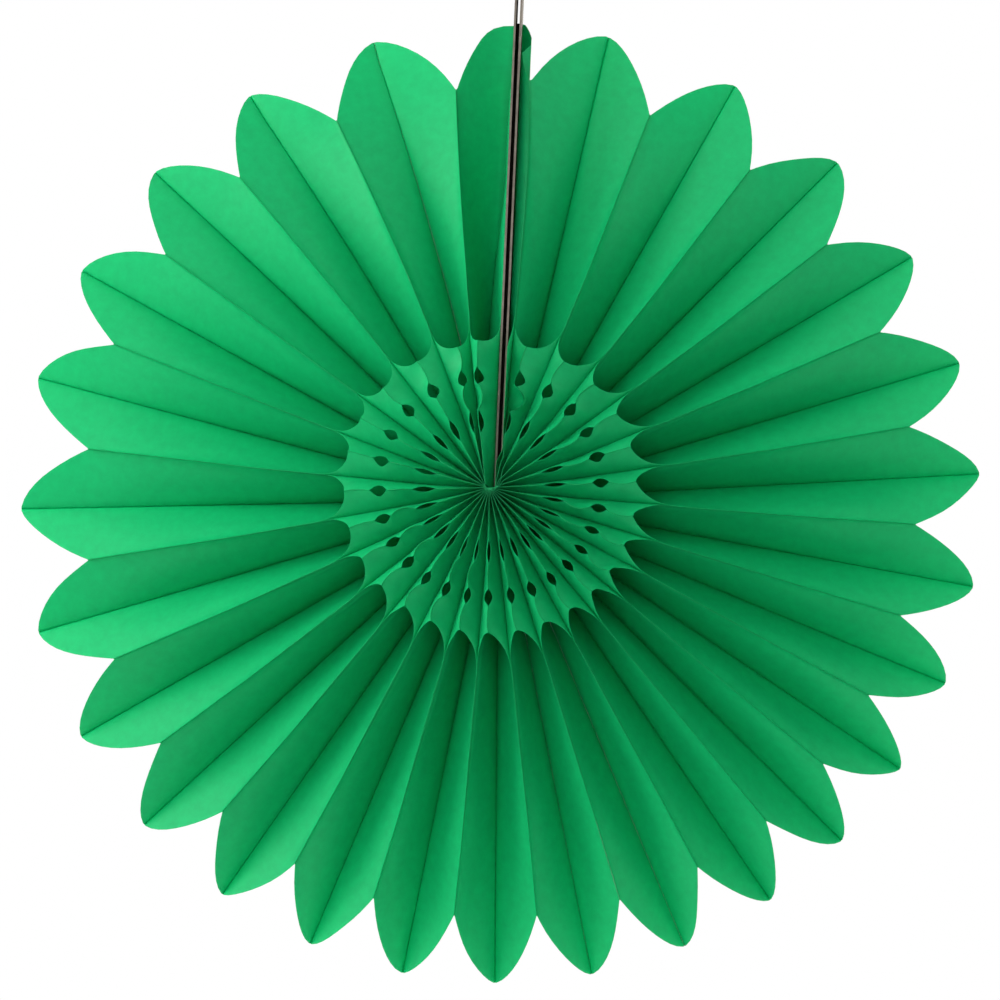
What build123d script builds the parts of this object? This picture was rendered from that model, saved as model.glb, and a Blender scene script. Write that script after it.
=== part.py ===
"""Paper fan medallion: a hanging decoration of die-cut green tissue paper.

A stack of identical tissue leaves is glued along straight lines, by turns on one side and on
the other, and spread through a full circle between two chipboard strips that end up face to
face at the top.  A thread through the inner ends of the leaves draws them together at the hub.

Frame: millimetres, +Z up along the strips, the fan faces -Y, and the origin is the middle of
the hanging hole.  The hub axis runs along Y, straight below the hole.
Azimuths are clockwise from the strips, as seen from the front.
"""

import os
from math import cos, pi, radians, sin

from build123d import *

# The circle of the fan
tip_radius = 343.0            # hub axis to the tip of a petal
petal_fall = 50.0             # how far the notches between petals lie inside the tips
hub_radius = 4.0              # inner ends of the leaves

# Depth of the pleats, from the back of the fan towards the viewer
ridge_depth_hub = 46.0        # ridge line between the petals, at the hub
ridge_depth_rim = 31.0        # the same line at the notch of a petal of average pitch
petal_bluntness = 1.55        # 1 is a straight-edged petal, 2 a round one

# The rosette, which stands in front of the ridges
rosette_pleat = 20.0          # width of tissue from the ridge to the rosette's front line
bite_start = 101.0            # radius where its edge leaves the front line
bite_length = 32.0            # radial length of the curved bite down to the ridge
outer_lens = (71.5, 82.0)     # radii of the two ends of the outer opening
inner_lens = (37.5, 53.5)     # and of the inner one
lens_depth = 6.5              # how deep these openings are cut into the pleat
lobe_height = 3.0             # free lobe between the two openings

# Tissue and glue
tissue = 0.15
glue_width = 3.0
front_glue_width = 1.5

# Azimuth of the crease of each petal at the rim, in degrees
petal_azimuths = (
    10.5, 27.0, 42.5, 57.0, 71.0, 84.5, 98.0, 110.0, 121.5,
    132.5, 143.5, 155.0, 166.5, 178.0, 189.0, 200.5, 212.5, 225.0,
    238.0, 251.5, 266.5, 282.5, 296.5, 311.5, 326.5, 343.0, 359.0,
)

# Left of the strips the rosette is turned clockwise against the rim
inner_turn = 2.4              # at most, in degrees
inner_turn_azimuth = 342.0
inner_turn_spread = 45.0

# The seams next to the strips: azimuths at the rosette, halfway and at the rim
first_ridge = (2.4, 2.9, 1.6)
last_ridge = (349.2, 350.8, 352.1)
last_crease = (353.0, 356.3, 359.0)
rosette_radius = 76.0         # where the first of the three is

# The two chipboard strips
strip_thickness = 1.4
strip_depth = 50.0
strip_gap = 2.6
strip_overhang = 58.0         # length beyond the petal tips
strip_corner = 6.0
hanging_hole_radius = 2.5
hanging_hole_inset = 14.0     # hole centre to the end of the strip

# The binding thread at the hub, in a short groove of every leaf and strip
thread_width = 0.8
thread_ring_radius = 5.6
thread_clearance = 0.3

# The tape that joins the strips face to face, behind the open front of their gap
tape_width = 12.0
tape_inset = 4.0              # from the back edges of the strips
tape_start = 20.0             # radii of its two ends
tape_end = 341.0

# Derived places
strip_face = strip_gap / 2 + strip_thickness
hub_drop = tip_radius + strip_overhang - hanging_hole_inset
back_y = strip_depth / 2
notch_radius = tip_radius - petal_fall
bite_end = bite_start + bite_length
groove_width = thread_width + 2 * thread_clearance
groove_length = thread_ring_radius + thread_width / 2 + thread_clearance - hub_radius

# Fineness of the facets
slab_margin = 4.0
petal_steps = 4
bite_steps = 3
arch_steps = 2
stations = (hub_radius / 2, bite_end, tip_radius + slab_margin)


def seam_azimuths():
    """Azimuths of all glued seams at the rosette, halfway and at the rim, from the right strip
    round to the left one.

    Even seams are petal creases, glued at the back and at the front of the pleats.
    Odd seams lie between petals and are glued along the ridge at half depth.
    """
    creases = [0.0, *petal_azimuths]
    rim = []
    for this, following in zip(creases, creases[1:]):
        rim += [this, (this + following) / 2]
    found = []
    for azimuth in rim:
        away = min(abs(azimuth - inner_turn_azimuth) / inner_turn_spread, 1)
        turn = inner_turn * cos(pi / 2 * away) ** 2
        found.append((azimuth + turn, azimuth + turn / 2, azimuth))
    found[1] = first_ridge
    found[-1] = last_ridge
    return [*found, last_crease, (360.0, 360.0, 360.0)]


seams = seam_azimuths()
leaf_count = len(seams) - 1
mean_pitch = 360.0 / leaf_count


def seam_azimuth(seam, radius):
    """Azimuth of a seam at a radius, on a smooth curve through its three azimuths.

    Inside the hub the seams are spread evenly, because the leaves are packed tight there.
    """
    if radius < hub_radius:
        return seam * mean_pitch
    inner, halfway, rim = seams[seam]
    along = (radius - rosette_radius) / (notch_radius - rosette_radius)
    inside = min(max(along, 0), 1)
    bow = halfway - (inner + rim) / 2
    return inner + (rim - inner) * min(max(along, -0.1), 1.15) + 4 * bow * inside * (1 - inside)


def crowding(seam):
    """Pitch of the leaves on the two sides of a seam, against the average pitch."""
    before = seams[max(seam - 1, 0)][2]
    after = seams[min(seam + 1, leaf_count)][2]
    spans = 1 if seam in (0, leaf_count) else 2
    return (after - before) / spans / mean_pitch


def ridge_depth(radius, seam):
    """Depth of the ridge: pleats that are spread wider stand less deep.

    It falls in a straight line from the edge of the rosette outwards.
    """
    def spread_depth(at):
        fall = ridge_depth_hub - ridge_depth_rim
        return ridge_depth_hub - fall * (at / notch_radius * crowding(seam)) ** 2

    if radius <= bite_end:
        return spread_depth(radius)
    along = (radius - bite_end) / (notch_radius - bite_end)
    return spread_depth(bite_end) * (1 - along) + spread_depth(notch_radius) * along


def front_depth(radius, seam):
    """Depth of the rosette's front line, which stands less deep too where it is spread wider."""
    reach = radians(mean_pitch * crowding(seam)) * min(radius, bite_start)
    return ridge_depth(radius, seam) + (rosette_pleat**2 - reach**2) ** 0.5


def leaf_plane(leaf):
    """Plane of a leaf: x out along its bisector, y towards the viewer, z clockwise."""
    middle = radians((seams[leaf - 1][2] + seams[leaf][2]) / 2)
    return Plane(
        origin=(0, back_y, -hub_drop),
        x_dir=(sin(middle), 0, cos(middle)),
        z_dir=(cos(middle), 0, -sin(middle)),
    )


def seam_place(leaf, seam, station):
    """Place of a seam at a station, along and sideways in the plane of a leaf.

    The seams pass the hub axis at a small distance, from one strip's face to the other's.  At
    the first and last station the seam is cut off square to the leaf.
    """
    middle = (seams[leaf - 1][2] + seams[leaf][2]) / 2
    offset = strip_face * (1 - 2 * seam / leaf_count)

    def place(radius):
        azimuth = seam_azimuth(seam, radius)
        turn = radians(azimuth - middle)
        return (
            radius * cos(turn) - offset * sin(turn),
            radius * sin(turn) + offset * cos(turn),
        )

    along, side = place(stations[station])
    if station in (0, len(stations) - 1):
        other_along, other_side = place(stations[1 if station == 0 else -2])
        slope = (other_side - side) / (other_along - along)
        return stations[station], side + slope * (stations[station] - along)
    return along, side


def crease_and_ridge(leaf):
    """The even and the odd seam of a leaf."""
    return (leaf - 1, leaf) if leaf % 2 else (leaf, leaf - 1)


def leaf_section(leaf, station):
    """Zigzag section of a leaf at a station, as places on its near face: along, depth, side."""
    crease, ridge = crease_and_ridge(leaf)
    crease_along, crease_side = seam_place(leaf, crease, station)
    ridge_along, ridge_side = seam_place(leaf, ridge, station)
    if leaf % 2:
        ridge_side -= tissue
    else:
        crease_side -= tissue
    middle_along = (crease_along + ridge_along) / 2
    middle_side = (crease_side + ridge_side) / 2
    radius = stations[station]
    first = ridge_depth(radius, ridge)
    second = front_depth(min(radius, bite_end), crease)
    front = ridge_depth_hub + rosette_pleat + lobe_height + slab_margin
    return [
        (crease_along, -slab_margin, crease_side),
        (crease_along, glue_width, crease_side),
        (middle_along, (glue_width + first - glue_width / 2) / 2, middle_side),
        (ridge_along, first - glue_width / 2, ridge_side),
        (ridge_along, first + glue_width / 2, ridge_side),
        (middle_along, (first + glue_width / 2 + second - front_glue_width) / 2, middle_side),
        (crease_along, second - front_glue_width, crease_side),
        (crease_along, front, crease_side),
    ]


def leaf_slab(leaf):
    """Folded sheet of tissue, larger than the leaf all round, made of flat facets.

    A glued line lies flat in its seam.  The twisted panels between two lines take triangles,
    whose long sides run out from the line to the middle, so that none lies in a seam.
    """
    plane = leaf_plane(leaf)

    def row(station, lift):
        return [
            plane.from_local_coords((along, depth, side + lift))
            for along, depth, side in leaf_section(leaf, station)
        ]

    near = [row(station, 0) for station in range(len(stations))]
    far = [row(station, tissue) for station in range(len(stations))]
    faces = []

    def facet(*points):
        faces.append(Face(Wire.make_polygon(points, close=True)))

    leaving_a_line = (1, 4)
    reaching_a_line = (2, 5)
    last = len(near[0]) - 1
    for i in range(len(stations) - 1):
        for k in range(last):
            for sheet in (near, far):
                a, b = sheet[i][k], sheet[i][k + 1]
                c, d = sheet[i + 1][k + 1], sheet[i + 1][k]
                if k in leaving_a_line:
                    facet(a, b, c)
                    facet(a, c, d)
                elif k in reaching_a_line:
                    facet(a, b, d)
                    facet(b, c, d)
                else:
                    facet(a, b, c, d)
        for k in (0, last):
            facet(near[i][k], far[i][k], far[i + 1][k], near[i + 1][k])
    for i in (0, -1):
        facet(*near[i], *reversed(far[i]))
    return Solid(Shell(faces))


def leaf_outline(leaf):
    """Die-cut outline of a leaf, seen from its side: radius against depth."""
    crease, ridge = crease_and_ridge(leaf)
    hub_depth = ridge_depth_hub + rosette_pleat
    rim_depth = front_depth(bite_start, crease)

    def ridge_edge(radius):
        return (radius, ridge_depth(radius, ridge) + glue_width / 2)

    def front_line(radius):
        return (radius, hub_depth - (hub_depth - rim_depth) * radius / bite_start)

    def arch(start, end, height):
        """Lobe in front of the front line, or behind it where the height is negative."""
        for i in range(arch_steps + 1):
            radius, depth = front_line(start + (end - start) * i / arch_steps)
            yield (radius, depth + height * sin(pi * i / arch_steps))

    ridge_start = ridge_edge(notch_radius)[1] - glue_width
    petal = [(tip_radius, 0)]
    for i in range(petal_steps + 1):
        share = i / petal_steps
        fall = petal_fall * share**petal_bluntness
        petal.append((tip_radius - fall, glue_width + (ridge_start - glue_width) * share))
    root_depth = ridge_edge(bite_end)[1]
    bite = []
    for i in range(bite_steps + 1):
        turn = pi / 2 * i / bite_steps
        depth = rim_depth - (rim_depth - root_depth) * cos(turn)
        bite.append((bite_end - bite_length * sin(turn), depth))
    rosette = [
        *arch(outer_lens[1], outer_lens[0], -lens_depth),
        *list(arch(outer_lens[0], inner_lens[1], lobe_height))[1:],
        *list(arch(inner_lens[1], inner_lens[0], -lens_depth))[1:],
        front_line(hub_radius),
    ]
    groove = [
        (hub_radius, back_y + groove_width / 2),
        (hub_radius + groove_length, back_y + groove_width / 2),
        (hub_radius + groove_length, back_y - groove_width / 2),
        (hub_radius, back_y - groove_width / 2),
        (hub_radius, 0),
    ]
    points = [*petal, ridge_edge(notch_radius), *bite, *rosette, *groove]
    return make_face(Polyline(*points, close=True))


def make_leaf(leaf):
    """One tissue leaf: the folded sheet, die-cut to its outline."""
    reach = tip_radius
    die = extrude(leaf_plane(leaf) * leaf_outline(leaf), amount=reach / 4, both=True)
    return leaf_slab(leaf) & die


def make_strip(side):
    """One chipboard strip, side +1 for the right one and -1 for the left one."""
    low = hub_radius - hub_drop
    high = hanging_hole_inset
    outline = Pos(0, (low + high) / 2) * Rectangle(strip_depth, high - low)
    outline = fillet(outline.vertices().group_by(Axis.Y)[-1], strip_corner)
    outline -= Circle(hanging_hole_radius)
    outline -= Pos(0, low) * Rectangle(groove_width, 2 * groove_length)
    inner = Plane(origin=(side * strip_gap / 2, 0, 0), x_dir=(0, side, 0), z_dir=(side, 0, 0))
    return extrude(inner * outline, amount=strip_thickness)


def make_joining_tape():
    """Foam tape that holds the two strips together, face to face."""
    tape = Box(strip_gap, tape_width, tape_end - tape_start)
    return Pos(0, back_y - tape_inset - tape_width / 2, (tape_start + tape_end) / 2 - hub_drop) * tape


def make_hub_thread():
    """Loop of thread in the grooves at the inner ends of the leaves and of both strips."""
    hub = Plane(origin=(0, 0, -hub_drop), z_dir=(0, -1, 0))
    loop = Circle(thread_ring_radius + thread_width / 2)
    loop -= Circle(thread_ring_radius - thread_width / 2)
    return extrude(hub * loop, amount=thread_width / 2, both=True)


def save(part, name):
    export_step(part, f"parts/{name}.step")


def main():
    os.makedirs("parts", exist_ok=True)
    for leaf in range(1, leaf_count + 1):
        save(make_leaf(leaf), f"tissue_leaf_{leaf:02d}")
    save(make_strip(1), "right_end_board")
    save(make_strip(-1), "left_end_board")
    save(make_joining_tape(), "joining_tape")
    save(make_hub_thread(), "hub_thread")


if __name__ == "__main__":
    main()
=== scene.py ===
"""Paper fan medallion: die-cut leaves of tissue paper, spread round between two chipboard strips.

Every leaf is cut from the same flat sheet, glued to its neighbours along straight lines and
folded out between them.  Lengths are metres.  In the plane of the fan a place is a radius from
the hub and an azimuth, clockwise from the strips as seen from the front.  Depth is measured from
the back of the fan towards the viewer.

Known faults: the last two leaves pass into the left strip towards the rim, and the last one into
the tape behind it.  The first four leaves pass into the right strip close to the hub.
"""

from math import cos, pi, radians, sin

import bmesh
import bpy
import numpy as np
from mathutils import Matrix, Vector, noise


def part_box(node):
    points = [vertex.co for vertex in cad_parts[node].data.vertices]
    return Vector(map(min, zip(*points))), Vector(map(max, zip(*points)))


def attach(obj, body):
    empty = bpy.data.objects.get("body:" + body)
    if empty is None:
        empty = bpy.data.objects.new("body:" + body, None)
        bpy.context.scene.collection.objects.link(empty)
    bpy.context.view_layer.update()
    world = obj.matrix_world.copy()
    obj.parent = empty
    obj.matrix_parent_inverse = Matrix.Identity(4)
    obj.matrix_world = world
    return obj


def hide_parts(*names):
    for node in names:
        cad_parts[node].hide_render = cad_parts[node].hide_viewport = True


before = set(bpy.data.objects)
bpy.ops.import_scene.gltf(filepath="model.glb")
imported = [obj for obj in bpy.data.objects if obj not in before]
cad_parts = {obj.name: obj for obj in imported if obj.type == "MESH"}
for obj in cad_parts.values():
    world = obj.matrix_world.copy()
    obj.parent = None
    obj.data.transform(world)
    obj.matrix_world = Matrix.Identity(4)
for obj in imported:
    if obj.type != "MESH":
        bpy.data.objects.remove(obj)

bl_info = {
    "name": "Paper Fan Medallion",
    "version": (1, 0, 0),
    "blender": (4, 5, 0),
    "location": "View3D > Sidebar > Paper Fan",
    "description": "Folds the tissue leaves of a hanging paper fan medallion and lights it",
    "category": "Add Mesh",
}

STRIP_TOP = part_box("right_end_board")[1]
BACK_Y = STRIP_TOP[1]
STRIP_FACE = STRIP_TOP[0]
LEAF_COUNT = sum(name.startswith("tissue_leaf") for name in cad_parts)

# Hub axis below the hanging hole
HUB_DROP = 0.387

# Radius where the inner azimuth of each seam holds
ROSETTE_RADIUS = 0.076

# The ridge beside the right strip stands deep, like that of crowded pleats
FIRST_RIDGE_CROWDING = 0.4

# From the middle of a glued seam to the middle of each of its two sheets
SEAM_INSET = 0.000075

# Soft bends of a petal's panel beside its crease and beside its ridge, as shares of its width
RIM_BENDS = (0.12, 0.05)
ROSETTE_BENDS = (0.30, 0.26)

# The same for the rosette's panel, beside its front seam and beside the ridge
FRONT_BENDS = (0.03, 0.34)

# Slow waves of a panel: their length, their height, and the radius where they are full
WAVE_LENGTH = 0.075
WAVE_HEIGHT = 0.0016
WAVE_RADIUS = 0.20

# Depth where the rosette's lean starts, and how much further forward it is full
LEAN_START = 0.040
LEAN_LENGTH = 0.018

# Sideways room that the leaning rosette needs beside the strips
LEAN_ROOM = 0.0067

# Single lamps: place from the hub, size and watts
LAMPS = {
    "side": ((-1.05, -0.36, 0.21), 0.5, 6.9),
    "high": ((-0.55, -0.75, 0.75), 0.5, 3.1),
    "front": ((-0.10, -0.45, 0.05), 0.3, 0.85),
}

# Two rings of lamps, behind the fan and in front of it: depth, radius, size and watts
RING_LAMPS = 8
WALL_GLOW = (-0.075, 0.50, 0.3, 1.2)
ROOM_GLOW = (0.18, 0.62, 0.25, 0.55)


class FanCut(bpy.types.PropertyGroup):
    """The die that cuts every leaf."""

    tip_radius: bpy.props.FloatProperty(
        name="Tip radius", description="Hub axis to the tip of a petal", default=0.343, unit="LENGTH"
    )
    petal_fall: bpy.props.FloatProperty(
        name="Petal fall", description="Notches inside the tips", default=0.050, unit="LENGTH"
    )
    petal_bluntness: bpy.props.FloatProperty(
        name="Petal bluntness", description="1 is a straight-edged petal, 2 a round one", default=1.55
    )
    hub_radius: bpy.props.FloatProperty(
        name="Hub radius", description="Inner ends of the leaves", default=0.0015, unit="LENGTH"
    )
    pleat: bpy.props.FloatProperty(
        name="Pleat", description="Width of sheet from a crease to a ridge", default=0.046, unit="LENGTH"
    )
    rosette_pleat: bpy.props.FloatProperty(
        name="Rosette pleat",
        description="From the ridge to the front of the rosette",
        default=0.020,
        unit="LENGTH",
    )
    bite_start: bpy.props.FloatProperty(
        name="Bite start",
        description="Radius of the rosette's edge in mid-petal",
        default=0.101,
        unit="LENGTH",
    )
    bite_length: bpy.props.FloatProperty(
        name="Bite length", description="From there out to the ridge", default=0.032, unit="LENGTH"
    )
    outer_opening: bpy.props.FloatVectorProperty(
        name="Outer opening",
        description="Radii of its two ends",
        default=(0.0702, 0.0832),
        size=2,
        unit="LENGTH",
    )
    inner_opening: bpy.props.FloatVectorProperty(
        name="Inner opening",
        description="Radii of its two ends",
        default=(0.0355, 0.0545),
        size=2,
        unit="LENGTH",
    )
    opening_depths: bpy.props.FloatVectorProperty(
        name="Opening depths",
        description="Inner and outer opening",
        default=(0.0052, 0.0065),
        size=2,
        unit="LENGTH",
    )
    lobe_height: bpy.props.FloatProperty(
        name="Lobe height", description="Free lobe between the openings", default=0.003, unit="LENGTH"
    )
    glue_width: bpy.props.FloatProperty(
        name="Glue width", description="Width of a glued line", default=0.003, unit="LENGTH"
    )
    front_glue_width: bpy.props.FloatProperty(
        name="Front glue width", description="The same at the front edge", default=0.001, unit="LENGTH"
    )
    thickness: bpy.props.FloatProperty(
        name="Thickness",
        description="Tissue, a little thinner than its room in a glued seam",
        default=0.00012,
        unit="LENGTH",
    )


class FanSpread(bpy.types.PropertyGroup):
    """How the glued stack is spread round the hub."""

    petal_azimuths: bpy.props.FloatVectorProperty(
        name="Petal azimuths",
        description="Azimuth of each petal's crease at the rim, in degrees",
        size=27,
        default=(
            10.5, 27.0, 42.5, 57.0, 71.0, 84.5, 98.0, 110.0, 121.5,
            132.5, 143.5, 155.0, 166.5, 178.0, 189.0, 200.5, 212.5, 225.0,
            238.0, 251.5, 266.5, 282.5, 296.5, 311.5, 326.5, 343.0, 359.0,
        ),
    )
    inner_turn: bpy.props.FloatVectorProperty(
        name="Inner turn",
        description="Largest turn of the rosette against the rim, its azimuth and its spread",
        size=3,
        default=(2.4, 342.0, 45.0),
    )
    beside_strips: bpy.props.FloatVectorProperty(
        name="Beside the strips",
        description="Inner, halfway and rim azimuths of the first ridge, last ridge and last crease",
        size=9,
        default=(2.4, 2.9, 1.6, 349.2, 350.8, 352.1, 353.0, 358.2, 359.6),
    )
    ridge_depth_rim: bpy.props.FloatProperty(
        name="Ridge depth at the rim",
        description="At a petal of average pitch",
        default=0.031,
        unit="LENGTH",
    )
    lobe_sway: bpy.props.FloatVectorProperty(
        name="Lobe sway",
        description="How far each lobe between the openings lies over clockwise",
        size=27,
        default=(
            0.0070, 0.0010, 0.0014, 0.0018, 0.0013, 0.0010, 0.0027, 0.0015, 0.0010,
            0.0, 0.0, 0.0, 0.0, 0.0005, 0.0018, 0.0013, 0.0005, 0.0030,
            0.0023, 0.0026, 0.0, 0.0, -0.0007, 0.0, 0.0, -0.0023, 0.0030,
        ),
        unit="LENGTH",
    )
    rim_sway: bpy.props.FloatVectorProperty(
        name="Rim sway",
        description="The same for the front edge outside the openings",
        size=27,
        default=(
            -0.0010, -0.0022, -0.0036, -0.0014, 0.0, 0.0020, 0.0025, 0.0030, 0.0039,
            0.0020, 0.0030, 0.0020, 0.0014, 0.0008, 0.0019, 0.0040, 0.0035, 0.0025,
            0.0022, 0.0010, 0.0008, 0.0, 0.0, -0.0020, 0.0020, 0.0018, 0.0,
        ),
        unit="LENGTH",
    )
    rosette_lean: bpy.props.FloatVectorProperty(
        name="Rosette lean",
        description="Shift of the front of the rosette, to the right and up",
        size=2,
        default=(-0.0056, 0.0047),
        unit="LENGTH",
    )


class FanFinish(bpy.types.PropertyGroup):
    """Colours of the paper, board, tape and thread. The tape's near black is painted shade of the deep
    gap between the strips.
    """

    tissue_color: bpy.props.FloatVectorProperty(
        name="Tissue",
        description="Green tissue paper",
        subtype="COLOR",
        default=(0.001, 0.50, 0.165),
        size=3,
    )
    board_color: bpy.props.FloatVectorProperty(
        name="Chipboard",
        description="Raw grey-brown board",
        subtype="COLOR",
        default=(0.165, 0.143, 0.118),
        size=3,
    )
    # Near black: painted shade of the deep gap between the strips, on the foam tape that fills it
    tape_and_gap_shade_color: bpy.props.FloatVectorProperty(
        name="Tape",
        description="Foam tape between the strips",
        subtype="COLOR",
        default=(0.020, 0.016, 0.010),
        size=3,
    )
    thread_color: bpy.props.FloatVectorProperty(
        name="Thread",
        description="Sewing thread",
        subtype="COLOR",
        default=(0.05, 0.30, 0.12),
        size=3,
    )


def seam_azimuths(spread):
    """Azimuths in degrees of every glued seam, inside at the rosette, halfway and at the rim.

    Even seams are petal creases and odd ones the ridges between petals.
    """
    creases = [0.0, *spread.petal_azimuths]
    rim = []
    for this, following in zip(creases, creases[1:]):
        rim += [this, (this + following) / 2]
    rim += [creases[-1], 360.0]
    turn, peak, reach = spread.inner_turn
    rows = []
    for azimuth in rim:
        inner = azimuth + turn * swell((azimuth - peak) / reach)
        rows.append([inner, (inner + azimuth) / 2, azimuth])
    beside = list(spread.beside_strips)
    rows[0] = [0.0, 0.0, 0.0]
    rows[1] = beside[0:3]
    rows[-3] = beside[3:6]
    rows[-2] = beside[6:9]
    rows[-1] = [360.0, 360.0, 360.0]
    return np.array(rows)


class Folding:
    """Where the glued seams run, and how a flat leaf is folded out between two of them."""

    def __init__(self, cut, spread):
        self.cut = cut
        self.spread = spread
        self.azimuths = seam_azimuths(spread)
        self.last = len(self.azimuths) - 1
        self.notch_radius = cut.tip_radius - cut.petal_fall

    def azimuth(self, seam, radius):
        """Azimuth in radians of a seam at a radius, a smooth curve through its three azimuths."""
        inner, halfway, rim = self.azimuths[seam]
        along = (radius - ROSETTE_RADIUS) / (self.notch_radius - ROSETTE_RADIUS)
        along = np.clip(along, -0.1, 1.15)
        bow = halfway - (inner + rim) / 2
        inside = np.clip(along, 0, 1)
        return np.radians(inner + (rim - inner) * along + 4 * bow * inside * (1 - inside))

    def seam_point(self, seam, radius):
        """Place of a seam in the plane of the fan, and its clockwise normal."""
        turn = self.azimuth(seam, radius)
        normal = np.stack([np.cos(turn), -np.sin(turn)], -1)
        outward = np.stack([np.sin(turn), np.cos(turn)], -1)
        offset = STRIP_FACE * (1 - 2 * seam / self.last)
        return outward * radius[..., None] + normal * offset, normal

    def crowding(self, seam):
        """Pitch of the leaves on the two sides of a seam, against the average pitch."""
        if seam == 1:
            return FIRST_RIDGE_CROWDING
        before = self.azimuths[max(seam - 1, 0)][2]
        after = self.azimuths[min(seam + 1, self.last)][2]
        spans = 1 if seam in (0, self.last) else 2
        return (after - before) / spans / (360.0 / self.last)

    def ridge_depth(self, radius, seam):
        """Depth of the first ridge: pleats that are spread wider stand less deep."""
        reach = np.minimum(radius, self.notch_radius) / self.notch_radius
        fall = self.cut.pleat - self.spread.ridge_depth_rim
        return self.cut.pleat - fall * (reach * self.crowding(seam)) ** 2

    def front_rise(self, radius, seam, sway):
        """How far the rosette stands in front of the ridges: less where its folds lie over."""
        pitch = 2 * pi / self.last * self.crowding(seam)
        reach = pitch * np.minimum(radius, self.cut.bite_start) + np.abs(sway)
        pleat = self.cut.rosette_pleat
        return np.sqrt(np.maximum(pleat**2 - reach**2, (0.2 * pleat) ** 2))


def eased(share, first_bend, last_bend):
    """Straight panel between two glued lines, with a soft bend of its own width beside each."""
    share = np.clip(share, 0, 1)
    slope = 1 / (1 - (first_bend + last_bend) / 2)
    middle = slope * (share - first_bend / 2)
    start = slope * share**2 / (2 * first_bend)
    end = 1 - slope * (1 - share) ** 2 / (2 * last_bend)
    return np.where(share < first_bend, start, np.where(share > 1 - last_bend, end, middle))


def ramp(value, start, length):
    """Rises evenly from 0 at the start to 1 a length further on."""
    return np.clip((value - start) / length, 0, 1)


def swell(share):
    """Smooth bump, 1 in the middle and 0 outside -1 to 1."""
    return np.cos(pi / 2 * np.clip(share, -1, 1)) ** 2


def crumple(leaf, radius, across, scale):
    """Slow random waves of a leaf, between about -1 and 1."""
    waves = np.empty(radius.shape)
    for place in np.ndindex(radius.shape):
        point = Vector((radius[place] / scale, across[place] / scale * 1.6, leaf * 7.31))
        waves[place] = noise.noise(point)
    return waves * 1.6


def sheet_rows(cut):
    """Radii of the grid rows along the front edge, closer together at the ends of the openings."""
    inner_start, inner_end = cut.inner_opening
    outer_start, outer_end = cut.outer_opening
    rows = list(np.linspace(cut.hub_radius, inner_start, 9))
    for start, end, steps in (
        (inner_start, inner_end, 12),
        (inner_end, outer_start, 10),
        (outer_start, outer_end, 10),
        (outer_end, cut.bite_start, 8),
    ):
        share = np.linspace(0, 1, steps + 1)[1:]
        share = share - 0.1 * np.sin(2 * pi * share)
        rows += list(start + (end - start) * share)
    return np.array(rows)


def front_edge(cut, radius):
    """Width of the flat sheet where it is cut at the front, with its openings and its lobe."""
    edge = np.full(radius.shape, cut.pleat + cut.rosette_pleat)
    for (start, end), depth in zip((cut.inner_opening, cut.outer_opening), cut.opening_depths):
        share = np.clip((radius - start) / (end - start), 0, 1)
        edge -= depth * np.sin(pi * share) ** 0.95
    start, end = cut.inner_opening[1], cut.outer_opening[0]
    share = np.clip((radius - start) / (end - start), 0, 1)
    edge += cut.lobe_height * np.sin(pi * share)
    return edge


def leaf_grid(cut):
    """Radius and width of every grid point of the flat leaf, and how many of its rows and columns
    belong to the rosette.  Rows run along the leaf and columns across it."""
    glue = cut.glue_width
    ridge_end = cut.pleat + glue / 2
    bend = 0.0035
    petal_columns = [0, glue / 2, glue, glue + bend / 2, glue + bend]
    petal_columns += list(np.linspace(glue + bend, cut.pleat - glue / 2 - bend, 9)[1:])
    petal_columns += [cut.pleat - glue / 2 - bend / 2, cut.pleat - glue / 2, cut.pleat, ridge_end]
    petal_columns = np.array(petal_columns)
    shares = np.array(
        [0, 0.006, 0.025, 0.06, 0.11, 0.18, 0.27, 0.37, 0.48, 0.59, 0.7, 0.79, 0.86, 0.9, 0.94, 0.97, 1]
    )
    rows = sheet_rows(cut)
    bite_end = cut.bite_start + cut.bite_length
    outer = np.linspace(0, 1, 27)[1:]
    row_count = len(rows) + len(outer)
    column_count = len(petal_columns) + len(shares) - 1
    radius = np.zeros((row_count, column_count))
    width = np.zeros((row_count, column_count))
    stretch = (bite_end - cut.hub_radius) / (cut.bite_start - cut.hub_radius)
    inner_rows = cut.hub_radius + (rows - cut.hub_radius) * stretch
    for j, across in enumerate(petal_columns):
        share = eased((across - glue) / (cut.pleat - 1.5 * glue), *RIM_BENDS)
        tip = cut.tip_radius - cut.petal_fall * share**cut.petal_bluntness
        radius[: len(rows), j] = inner_rows
        radius[len(rows) :, j] = bite_end + (tip - bite_end) * outer
        width[:, j] = across
    edge = front_edge(cut, rows)
    for j, share in enumerate(shares[1:], len(petal_columns)):
        bite = bite_end - cut.bite_length * (1 - (1 - share) ** 2) ** 0.5
        stretch = (bite - cut.hub_radius) / (cut.bite_start - cut.hub_radius)
        radius[: len(rows), j] = cut.hub_radius + (rows - cut.hub_radius) * stretch
        width[: len(rows), j] = ridge_end + share * (edge - ridge_end)
    return radius, width, len(rows), len(petal_columns)


def select_none():
    """Nothing stays selected before a new piece is added."""
    for thing in bpy.context.selected_objects:
        thing.select_set(False)
    bpy.context.view_layer.objects.active = None


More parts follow.
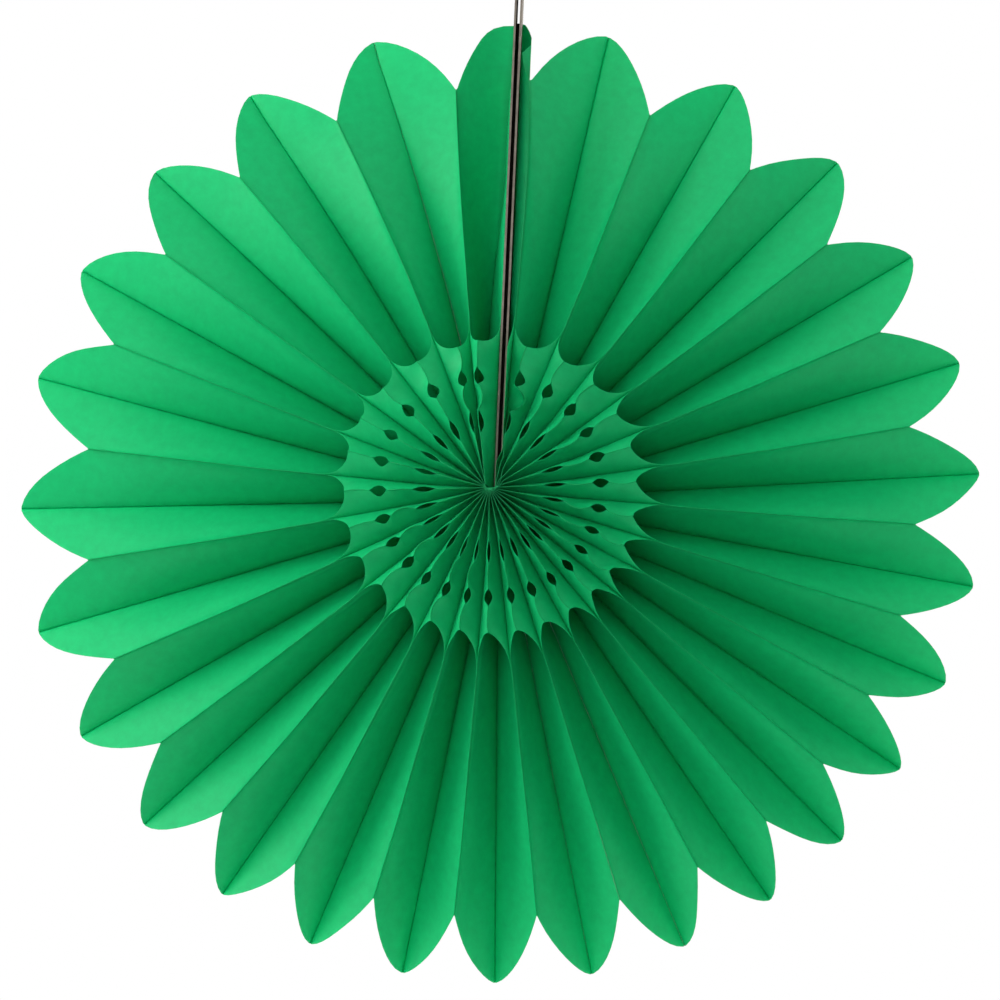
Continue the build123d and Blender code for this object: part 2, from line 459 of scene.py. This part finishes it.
def cut_flat_leaf(cut):
    """The flat leaf: a grid of tissue, cut to the die's outline, with its own size as UV map."""
    radius, width, rosette_rows, petal_columns = leaf_grid(cut)
    row_count, column_count = radius.shape
    select_none()
    bpy.ops.mesh.primitive_grid_add(
        x_subdivisions=row_count - 1, y_subdivisions=column_count - 1, size=1, location=(0, 0, 0)
    )
    leaf = bpy.context.object
    leaf.name = "flat_leaf"
    mesh = leaf.data
    places = np.empty(len(mesh.vertices) * 3)
    mesh.vertices.foreach_get("co", places)
    places = places.reshape(-1, 3)
    row = np.rint((places[:, 0] + 0.5) * (row_count - 1)).astype(int)
    column = np.rint((places[:, 1] + 0.5) * (column_count - 1)).astype(int)
    for name, values in (("row", row), ("column", column)):
        mesh.attributes.new(name, "INT", "POINT").data.foreach_set("value", values)
    places[:, 0] = radius[row, column]
    places[:, 1] = width[row, column]
    places[:, 2] = 0
    mesh.vertices.foreach_set("co", places.ravel())
    sheet = bmesh.new()
    sheet.from_mesh(mesh)
    row_layer = sheet.verts.layers.int["row"]
    column_layer = sheet.verts.layers.int["column"]
    waste = [
        face
        for face in sheet.faces
        if min(v[row_layer] for v in face.verts) >= rosette_rows - 1
        and min(v[column_layer] for v in face.verts) >= petal_columns - 1
    ]
    bmesh.ops.delete(sheet, geom=waste, context="FACES")
    uv_layer = sheet.loops.layers.uv.verify()
    for face in sheet.faces:
        for loop in face.loops:
            loop[uv_layer].uv = loop.vert.co.xy
    sheet.to_mesh(mesh)
    sheet.free()
    return leaf


def free_edge_sway(seam, radius, folding):
    """How far the free front edge sways clockwise, at the lobe between the openings and at the
    stretch outside them."""
    if seam == 0:
        return np.zeros(radius.shape)
    cut = folding.cut
    sway = 0
    for start, end, most in (
        (cut.inner_opening[1], cut.outer_opening[0], folding.spread.lobe_sway[seam // 2 - 1]),
        (cut.outer_opening[1], cut.bite_start, folding.spread.rim_sway[seam // 2 - 1]),
    ):
        share = np.clip((2 * radius - start - end) / (end - start + 0.002), -1, 1)
        sway = sway + most * (1 - share**2) ** 0.8
    return sway


def lean_share(crease, ridge, across, radius, folding):
    """The front of the rosette leans to the left, less so just right of the strips, where there is
    little room.  Close to the hub it leans all the same."""

    def share(seam):
        if seam == folding.last:
            return 0.0
        azimuth = folding.azimuths[seam][0]
        if azimuth > 90:
            return 1.0
        room = radius * sin(radians(azimuth)) / LEAN_ROOM
        at_hub = 0.75 * np.clip((0.030 - radius) / 0.012, 0, 1)
        return np.clip(np.maximum(np.maximum(room, at_hub), (azimuth - 15) / 60), 0, 1)

    return share(crease) * (1 - across) + share(ridge) * across


def first_panel(share, radius):
    """The slack first petal panel is folded back beside the right strip: how far it stands aside
    of its crease, how far across it is to its ridge, and how far up."""
    outside = ramp(radius, 0.08, 0.05)
    out_and_back = np.where(share < 0.58, (share - 0.08) / 0.50, (0.72 - share) / 0.14)
    aside = 0.0085 * np.clip(out_and_back, 0, 1) * ramp(radius, 0.10, 0.15)
    turned = ramp(share, 0.68, 0.32) ** 1.1
    across = share + (turned - share) * outside
    up = share + (np.sin(pi / 2 * share) - share) * outside
    return aside, across, up


def sagging_panel(share, radius):
    """The petal panel of the last leaf but one sags: how far across it is to its ridge."""
    return share ** (1 - 0.42 * ramp(radius, 0.13, 0.10))


def fold_leaf(leaf, number, folding):
    """Folds a flat leaf out between its two seams and puts it in its place."""
    cut = folding.cut
    mesh = leaf.data
    places = np.empty(len(mesh.vertices) * 3)
    mesh.vertices.foreach_get("co", places)
    places = places.reshape(-1, 3)
    radius = places[:, 0].copy()
    width = places[:, 1].copy()
    crease, ridge = (number - 1, number) if number % 2 else (number, number - 1)
    side = 1 if number % 2 else -1
    glue = cut.glue_width
    panel = cut.pleat - 1.5 * glue
    front_glue = cut.front_glue_width
    rosette_panel = cut.rosette_pleat - front_glue - glue / 2
    front_width = cut.pleat + cut.rosette_pleat
    sway = free_edge_sway(crease, radius, folding)
    rise = folding.front_rise(radius, crease, sway)
    ridge_at = folding.ridge_depth(radius, ridge)
    front_at = folding.ridge_depth(radius, crease) + rise
    in_petal = width <= cut.pleat + glue / 2 + 1e-7
    share = np.where(in_petal, (width - glue) / panel, (front_width - front_glue - width) / rosette_panel)
    share = np.clip(share, 0, 1)
    outwards = ramp(radius, 0.150, 0.130)
    outwards = outwards**2 * (3 - 2 * outwards)
    crease_bend, ridge_bend = (
        inner + (outer - inner) * outwards for inner, outer in zip(ROSETTE_BENDS, RIM_BENDS)
    )
    across = np.where(in_petal, eased(share, crease_bend, ridge_bend), eased(share, *FRONT_BENDS))
    aside = np.zeros(radius.shape)
    up = share
    if number == 1:
        aside, first_across, up = first_panel(share, radius)
        across = np.where(in_petal, first_across, across)
    if number == folding.last - 1:
        across = np.where(in_petal, sagging_panel(share, radius), across)
    panel_depth = glue + up * (ridge_at - 1.5 * glue)
    petal_depth = np.where(width > cut.pleat - glue / 2, ridge_at + width - cut.pleat, panel_depth)
    petal_depth = np.where(width < glue, width, petal_depth)
    lie = np.arctan2(sway, rise)
    beyond = np.maximum(width - front_width + front_glue, 0) - front_glue
    foot = ridge_at + glue / 2
    rosette_depth = np.where(
        beyond > -front_glue,
        front_at + beyond * np.cos(lie),
        foot + (1 - share) * (front_at - front_glue * np.cos(lie) - foot),
    )
    depth = np.where(in_petal, petal_depth, rosette_depth)
    crease_point, crease_normal = folding.seam_point(crease, radius)
    ridge_point, ridge_normal = folding.seam_point(ridge, radius)
    inset = SEAM_INSET * side
    crease_point = crease_point + crease_normal * inset
    ridge_point = ridge_point - ridge_normal * inset
    aside = np.where(in_petal, aside, sway + beyond * np.sin(lie))
    crease_point = crease_point + crease_normal * aside[:, None]
    plane = crease_point * (1 - across[:, None]) + ridge_point * across[:, None]
    normal = crease_normal * (1 - across[:, None]) + ridge_normal * across[:, None]
    waves = crumple(number, radius, width, WAVE_LENGTH)
    room = np.clip(radius / WAVE_RADIUS, 0, 1.2) * 4 * across * (1 - across)
    plane = plane + normal * (WAVE_HEIGHT * waves * room)[:, None]
    lean = ramp(depth, LEAN_START, LEAN_LENGTH) * lean_share(crease, ridge, across, radius, folding)
    plane = plane + lean[:, None] * np.array(folding.spread.rosette_lean)
    places[:, 0] = plane[:, 0]
    places[:, 1] = BACK_Y - depth
    places[:, 2] = plane[:, 1] - HUB_DROP
    mesh.vertices.foreach_set("co", places.ravel())
    # Mask of the glued lines, which the tissue shader darkens: glue and double tissue, and in part
    # painted shade of the creases
    glued = np.where((share <= 0) | (share >= 1), 1.0, 0.0)
    mesh.attributes.new("glued", "FLOAT", "POINT").data.foreach_set("value", glued)
    mesh.update()


class MESH_OT_tissue_leaves(bpy.types.Operator):
    """Cuts one flat leaf and folds a copy of it out between every two seams"""

    bl_idname = "mesh.tissue_leaves"
    bl_label = "Tissue Leaves"
    bl_options = {"REGISTER", "UNDO"}

    def execute(self, context):
        scene = context.scene
        folding = Folding(scene.fan_cut, scene.fan_spread)
        paper = tissue_material(scene.fan_finish)
        flat = cut_flat_leaf(scene.fan_cut)
        for number in range(1, LEAF_COUNT + 1):
            leaf = bpy.data.objects.new(f"leaf_{number:02d}", flat.data.copy())
            scene.collection.objects.link(leaf)
            shift_uv(leaf.data, 0.37 * (number % 7), 0.11 * (number // 7))
            fold_leaf(leaf, number, folding)
            for name in ("row", "column"):
                leaf.data.attributes.remove(leaf.data.attributes[name])
            thicken(leaf, scene.fan_cut.thickness)
            leaf.data.materials.append(paper)
            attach(leaf, "root")
            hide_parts(f"tissue_leaf_{number:02d}")
        bpy.data.objects.remove(flat)
        return {"FINISHED"}


def shift_uv(mesh, along, across):
    """Each leaf takes its clouds from another part of the sheet."""
    layer = mesh.uv_layers.active.data
    values = np.empty(len(layer) * 2)
    layer.foreach_get("uv", values)
    values = values.reshape(-1, 2) + np.array([along, across])
    layer.foreach_set("uv", values.ravel())


def thicken(leaf, thickness):
    """Gives a leaf its thickness and shades it smooth."""
    select_none()
    leaf.select_set(True)
    bpy.context.view_layer.objects.active = leaf
    solid = leaf.modifiers.new("Thickness", "SOLIDIFY")
    solid.thickness = thickness
    solid.offset = 0
    solid.use_even_offset = False
    bpy.ops.object.modifier_apply(modifier=solid.name)
    bpy.ops.object.shade_smooth_by_angle(angle=radians(50))


def new_material(name):
    """An empty material and its node tree."""
    material = bpy.data.materials.new(name)
    material.use_nodes = True
    material.node_tree.nodes.clear()
    return material, material.node_tree


def clouds_group():
    """Shader group: uneven colour of a fibrous sheet, and the height of its fibres."""
    name = "Fibre clouds"
    if name in bpy.data.node_groups:
        return bpy.data.node_groups[name]
    group = bpy.data.node_groups.new(name, "ShaderNodeTree")
    for label, kind, direction in (
        ("Vector", "NodeSocketVector", "INPUT"),
        ("Pale", "NodeSocketColor", "INPUT"),
        ("Deep", "NodeSocketColor", "INPUT"),
        ("Cloud size", "NodeSocketFloat", "INPUT"),
        ("Fibre size", "NodeSocketFloat", "INPUT"),
        ("Color", "NodeSocketColor", "OUTPUT"),
        ("Height", "NodeSocketFloat", "OUTPUT"),
    ):
        group.interface.new_socket(name=label, in_out=direction, socket_type=kind)
    nodes, links = group.nodes, group.links
    given = nodes.new("NodeGroupInput")
    out = nodes.new("NodeGroupOutput")
    clouds = nodes.new("ShaderNodeTexNoise")
    clouds.inputs["Detail"].default_value = 5.0
    clouds.inputs["Roughness"].default_value = 0.62
    fibres = nodes.new("ShaderNodeTexNoise")
    fibres.inputs["Detail"].default_value = 3.0
    fibres.inputs["Roughness"].default_value = 0.7
    blend = nodes.new("ShaderNodeMath")
    blend.operation = "MULTIPLY_ADD"
    blend.inputs[1].default_value = 0.3
    spread = nodes.new("ShaderNodeMapRange")
    spread.inputs["From Min"].default_value = 0.45
    spread.inputs["From Max"].default_value = 0.85
    mix = nodes.new("ShaderNodeMix")
    mix.data_type = "RGBA"
    links.new(given.outputs["Vector"], clouds.inputs["Vector"])
    links.new(given.outputs["Vector"], fibres.inputs["Vector"])
    links.new(given.outputs["Cloud size"], clouds.inputs["Scale"])
    links.new(given.outputs["Fibre size"], fibres.inputs["Scale"])
    links.new(fibres.outputs["Fac"], blend.inputs[0])
    links.new(clouds.outputs["Fac"], blend.inputs[2])
    links.new(blend.outputs[0], spread.inputs["Value"])
    links.new(spread.outputs["Result"], mix.inputs["Factor"])
    links.new(given.outputs["Deep"], mix.inputs["A"])
    links.new(given.outputs["Pale"], mix.inputs["B"])
    links.new(mix.outputs["Result"], out.inputs["Color"])
    links.new(fibres.outputs["Fac"], out.inputs["Height"])
    return group


def add_clouds(tree, color, pale, deep, cloud_size, fibre_size):
    """Places the fibre clouds in a material, paler and deeper than its colour by turns."""
    clouds = tree.nodes.new("ShaderNodeGroup")
    clouds.node_tree = clouds_group()
    clouds.inputs["Pale"].default_value = (*(Vector(color) * pale), 1)
    clouds.inputs["Deep"].default_value = (*(Vector(color) * deep), 1)
    clouds.inputs["Cloud size"].default_value = cloud_size
    clouds.inputs["Fibre size"].default_value = fibre_size
    return clouds


def add_bump(tree, height, surface, strength):
    """Raises a surface by a height, 0.2 mm at most."""
    bump = tree.nodes.new("ShaderNodeBump")
    bump.inputs["Strength"].default_value = strength
    bump.inputs["Distance"].default_value = 0.0002
    tree.links.new(height, bump.inputs["Height"])
    tree.links.new(bump.outputs["Normal"], surface.inputs["Normal"])


def tissue_material(finish):
    """Matt tissue that lets some light through and is cloudy, like all thin paper."""
    material, tree = new_material("Green tissue")
    nodes, links = tree.nodes, tree.links
    place = nodes.new("ShaderNodeUVMap")
    clouds = add_clouds(tree, finish.tissue_color, 1.06, 0.90, 140.0, 900.0)
    glued = nodes.new("ShaderNodeAttribute")
    glued.attribute_name = "glued"
    # Glued lines are multiplied darker: glue and the double tissue darken them, and part of the darkening
    # is painted shade of the creases
    glue_and_crease_shade = nodes.new("ShaderNodeMix")
    glue_and_crease_shade.data_type = "RGBA"
    glue_and_crease_shade.blend_type = "MULTIPLY"
    glue_and_crease_shade.inputs["B"].default_value = (0.75, 0.80, 0.75, 1)
    paper = nodes.new("ShaderNodeBsdfPrincipled")
    paper.inputs["Roughness"].default_value = 0.55
    paper.inputs["Specular IOR Level"].default_value = 0.3
    paler = nodes.new("ShaderNodeGamma")
    paler.inputs["Gamma"].default_value = 0.62
    glow = nodes.new("ShaderNodeBsdfTranslucent")
    through = nodes.new("ShaderNodeMixShader")
    through.inputs["Fac"].default_value = 0.35
    out = nodes.new("ShaderNodeOutputMaterial")
    links.new(place.outputs["UV"], clouds.inputs["Vector"])
    links.new(clouds.outputs["Color"], glue_and_crease_shade.inputs["A"])
    links.new(glued.outputs["Fac"], glue_and_crease_shade.inputs["Factor"])
    add_bump(tree, clouds.outputs["Height"], paper, 0.12)
    links.new(glue_and_crease_shade.outputs["Result"], paper.inputs["Base Color"])
    links.new(glue_and_crease_shade.outputs["Result"], paler.inputs["Color"])
    links.new(paler.outputs["Color"], glow.inputs["Color"])
    links.new(paper.outputs["BSDF"], through.inputs[1])
    links.new(glow.outputs["BSDF"], through.inputs[2])
    links.new(through.outputs["Shader"], out.inputs["Surface"])
    return material


def board_material(finish):
    """Raw grey-brown chipboard with paler and darker flecks."""
    material, tree = new_material("Grey chipboard")
    nodes, links = tree.nodes, tree.links
    place = nodes.new("ShaderNodeTexCoord")
    clouds = add_clouds(tree, finish.board_color, 1.25, 0.70, 160.0, 1500.0)
    board = nodes.new("ShaderNodeBsdfPrincipled")
    board.inputs["Roughness"].default_value = 0.85
    board.inputs["Specular IOR Level"].default_value = 0.25
    out = nodes.new("ShaderNodeOutputMaterial")
    links.new(place.outputs["Object"], clouds.inputs["Vector"])
    links.new(clouds.outputs["Color"], board.inputs["Base Color"])
    add_bump(tree, clouds.outputs["Height"], board, 0.3)
    links.new(board.outputs["BSDF"], out.inputs["Surface"])
    return material


def tape_in_gap_shade_material(finish):
    """Foam tape, its near black painted shade of the deep gap between the strips."""
    material, tree = new_material("Foam tape in painted gap shade")
    nodes, links = tree.nodes, tree.links
    foam = nodes.new("ShaderNodeBsdfPrincipled")
    foam.inputs["Base Color"].default_value = (*finish.tape_and_gap_shade_color, 1)
    foam.inputs["Roughness"].default_value = 0.9
    pores = nodes.new("ShaderNodeTexNoise")
    pores.inputs["Scale"].default_value = 2500.0
    place = nodes.new("ShaderNodeTexCoord")
    out = nodes.new("ShaderNodeOutputMaterial")
    links.new(place.outputs["Object"], pores.inputs["Vector"])
    add_bump(tree, pores.outputs["Fac"], foam, 0.4)
    links.new(foam.outputs["BSDF"], out.inputs["Surface"])
    return material


def thread_material(finish):
    """Sewing thread of uneven green."""
    material, tree = new_material("Green thread")
    nodes, links = tree.nodes, tree.links
    place = nodes.new("ShaderNodeTexCoord")
    clouds = add_clouds(tree, finish.thread_color, 1.3, 0.6, 900.0, 4000.0)
    thread = nodes.new("ShaderNodeBsdfPrincipled")
    thread.inputs["Roughness"].default_value = 0.7
    out = nodes.new("ShaderNodeOutputMaterial")
    links.new(place.outputs["Object"], clouds.inputs["Vector"])
    links.new(clouds.outputs["Color"], thread.inputs["Base Color"])
    links.new(thread.outputs["BSDF"], out.inputs["Surface"])
    return material


def finish_piece(name, material):
    """Gives a piece of the frame its material."""
    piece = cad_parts[name]
    piece.data.materials.clear()
    piece.data.materials.append(material)


class MESH_OT_strip_and_thread_finish(bpy.types.Operator):
    """Gives the two chipboard strips, their tape and the hub thread their finish"""

    bl_idname = "mesh.strip_and_thread_finish"
    bl_label = "Strip and Thread Finish"
    bl_options = {"REGISTER", "UNDO"}

    def execute(self, context):
        finish = context.scene.fan_finish
        board = board_material(finish)
        finish_piece("right_end_board", board)
        finish_piece("left_end_board", board)
        finish_piece("joining_tape", tape_in_gap_shade_material(finish))
        finish_piece("hub_thread", thread_material(finish))
        return {"FINISHED"}


def hub_place(depth):
    """Place on the hub axis at a depth, in the frame of the part."""
    return Vector((0, BACK_Y - depth, -HUB_DROP))


def add_lamp(name, place, target, size, power):
    """A soft square lamp that shines from its place towards its target, unseen by the camera."""
    data = bpy.data.lights.new(name, "AREA")
    data.shape = "SQUARE"
    data.size = size
    data.energy = power
    lamp = bpy.data.objects.new(name, data)
    bpy.context.scene.collection.objects.link(lamp)
    lamp.location = place
    lamp.rotation_euler = (Vector(target) - Vector(place)).to_track_quat("-Z", "Y").to_euler()
    lamp.visible_camera = False


def add_camera():
    """Camera where the photograph was taken from."""
    elevation, azimuth, roll = radians(-3.2), radians(1.2), radians(2.46)
    distance = 1.5
    aside_and_up = Vector((0.0009, 0, -0.0013))
    target = hub_place(0) + aside_and_up
    back = Vector((sin(azimuth) * cos(elevation), -cos(azimuth) * cos(elevation), sin(elevation)))
    right = Vector((0, 0, 1)).cross(back).normalized()
    up = back.cross(right)
    turned_right = right * cos(roll) + up * sin(roll)
    turned_up = up * cos(roll) - right * sin(roll)
    data = bpy.data.cameras.new("photo_camera")
    data.sensor_width = 36
    data.lens = 75.3
    camera = bpy.data.objects.new("photo_camera", data)
    bpy.context.scene.collection.objects.link(camera)
    axes = Matrix((turned_right, turned_up, back)).transposed()
    camera.matrix_world = Matrix.Translation(target + back * distance) @ axes.to_4x4()
    bpy.context.scene.camera = camera


def white_world():
    """Soft light from all round, stronger from the front, and plain white to the camera and to
    glossy reflections."""
    world = bpy.data.worlds.new("Studio")
    world.use_nodes = True
    nodes, links = world.node_tree.nodes, world.node_tree.links
    nodes.clear()
    light = nodes.new("ShaderNodeBackground")
    light.inputs["Color"].default_value = (1, 1, 1, 1)
    place = nodes.new("ShaderNodeTexCoord")
    split = nodes.new("ShaderNodeSeparateXYZ")
    level = nodes.new("ShaderNodeMapRange")
    level.inputs["From Min"].default_value = -1.0
    level.inputs["From Max"].default_value = 1.0
    level.inputs["To Min"].default_value = 0.35
    level.inputs["To Max"].default_value = 0.12
    links.new(place.outputs["Generated"], split.inputs["Vector"])
    links.new(split.outputs["Y"], level.inputs["Value"])
    links.new(level.outputs["Result"], light.inputs["Strength"])
    white = nodes.new("ShaderNodeBackground")
    white.inputs["Color"].default_value = (1, 1, 1, 1)
    white.inputs["Strength"].default_value = 1.0
    path = nodes.new("ShaderNodeLightPath")
    seen = nodes.new("ShaderNodeMath")
    seen.operation = "MAXIMUM"
    mix = nodes.new("ShaderNodeMixShader")
    out = nodes.new("ShaderNodeOutputWorld")
    links.new(path.outputs["Is Camera Ray"], seen.inputs[0])
    links.new(path.outputs["Is Glossy Ray"], seen.inputs[1])
    links.new(seen.outputs[0], mix.inputs["Fac"])
    links.new(light.outputs["Background"], mix.inputs[1])
    links.new(white.outputs["Background"], mix.inputs[2])
    links.new(mix.outputs["Shader"], out.inputs["Surface"])
    bpy.context.scene.world = world


def floor_material():
    """Plain pale floor, paler still to the camera alone."""
    material, tree = new_material("Pale floor")
    nodes, links = tree.nodes, tree.links
    floor = nodes.new("ShaderNodeBsdfPrincipled")
    floor.inputs["Base Color"].default_value = (0.86, 0.86, 0.85, 1)
    floor.inputs["Roughness"].default_value = 0.9
    path = nodes.new("ShaderNodeLightPath")
    lift = nodes.new("ShaderNodeMath")
    lift.operation = "MULTIPLY"
    lift.inputs[1].default_value = 0.6
    pale = nodes.new("ShaderNodeEmission")
    both = nodes.new("ShaderNodeAddShader")
    out = nodes.new("ShaderNodeOutputMaterial")
    links.new(path.outputs["Is Camera Ray"], lift.inputs[0])
    links.new(lift.outputs[0], pale.inputs["Strength"])
    links.new(floor.outputs["BSDF"], both.inputs[0])
    links.new(pale.outputs["Emission"], both.inputs[1])
    links.new(both.outputs["Shader"], out.inputs["Surface"])
    return material


def add_lamps():
    """The single lamps, and a ring of lamps behind the fan and another in front of it."""
    hub = hub_place(0.04)
    for name, (offset, size, power) in LAMPS.items():
        add_lamp(name, hub + Vector(offset), hub, size, power)
    wall_depth, wall_radius, wall_size, wall_power = WALL_GLOW
    room_depth, room_radius, room_size, room_power = ROOM_GLOW
    forwards = Vector((0, -1, 0))
    for i in range(RING_LAMPS):
        turn = radians(360 / RING_LAMPS * (i + 0.5))
        around = Vector((sin(turn), 0, cos(turn)))
        place = hub_place(wall_depth) + wall_radius * around
        add_lamp(f"wall_glow_{i + 1}", place, place + forwards, wall_size, wall_power)
        place = hub_place(room_depth) + room_radius * around
        add_lamp(f"room_glow_{i + 1}", place, hub, room_size, room_power)


class SCENE_OT_fan_stage(bpy.types.Operator):
    """Adds the floor, the lamps, the white world and the camera"""

    bl_idname = "scene.fan_stage"
    bl_label = "Stage"
    bl_options = {"REGISTER", "UNDO"}

    def execute(self, context):
        select_none()
        floor_below_hub = 1.2
        bpy.ops.mesh.primitive_plane_add(size=3.0, location=(0, 0, -HUB_DROP - floor_below_hub))
        floor = bpy.context.object
        floor.name = "floor"
        floor.data.materials.append(floor_material())
        add_lamps()
        white_world()
        add_camera()
        context.scene.view_settings.view_transform = "Standard"
        return {"FINISHED"}


class VIEW3D_PT_paper_fan(bpy.types.Panel):
    """Sizes, colours and steps of the paper fan"""

    bl_label = "Paper Fan Medallion"
    bl_idname = "VIEW3D_PT_paper_fan"
    bl_space_type = "VIEW_3D"
    bl_region_type = "UI"
    bl_category = "Paper Fan"

    def draw(self, context):
        layout = self.layout
        for group in (context.scene.fan_cut, context.scene.fan_spread, context.scene.fan_finish):
            box = layout.box()
            for name in group.bl_rna.properties.keys():
                if name not in ("rna_type", "name"):
                    box.prop(group, name)
        for step in STEPS:
            layout.operator(step.bl_idname)


STEPS = (MESH_OT_tissue_leaves, MESH_OT_strip_and_thread_finish, SCENE_OT_fan_stage)
GROUPS = {"fan_cut": FanCut, "fan_spread": FanSpread, "fan_finish": FanFinish}


def register():
    for name, group in GROUPS.items():
        bpy.utils.register_class(group)
        setattr(bpy.types.Scene, name, bpy.props.PointerProperty(type=group))
    for step in (*STEPS, VIEW3D_PT_paper_fan):
        bpy.utils.register_class(step)


def unregister():
    for step in (VIEW3D_PT_paper_fan, *reversed(STEPS)):
        bpy.utils.unregister_class(step)
    for name, group in GROUPS.items():
        delattr(bpy.types.Scene, name)
        bpy.utils.unregister_class(group)


def main():
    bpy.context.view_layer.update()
    register()
    bpy.ops.mesh.tissue_leaves()
    bpy.ops.mesh.strip_and_thread_finish()
    bpy.ops.scene.fan_stage()


if __name__ == "__main__":
    main()
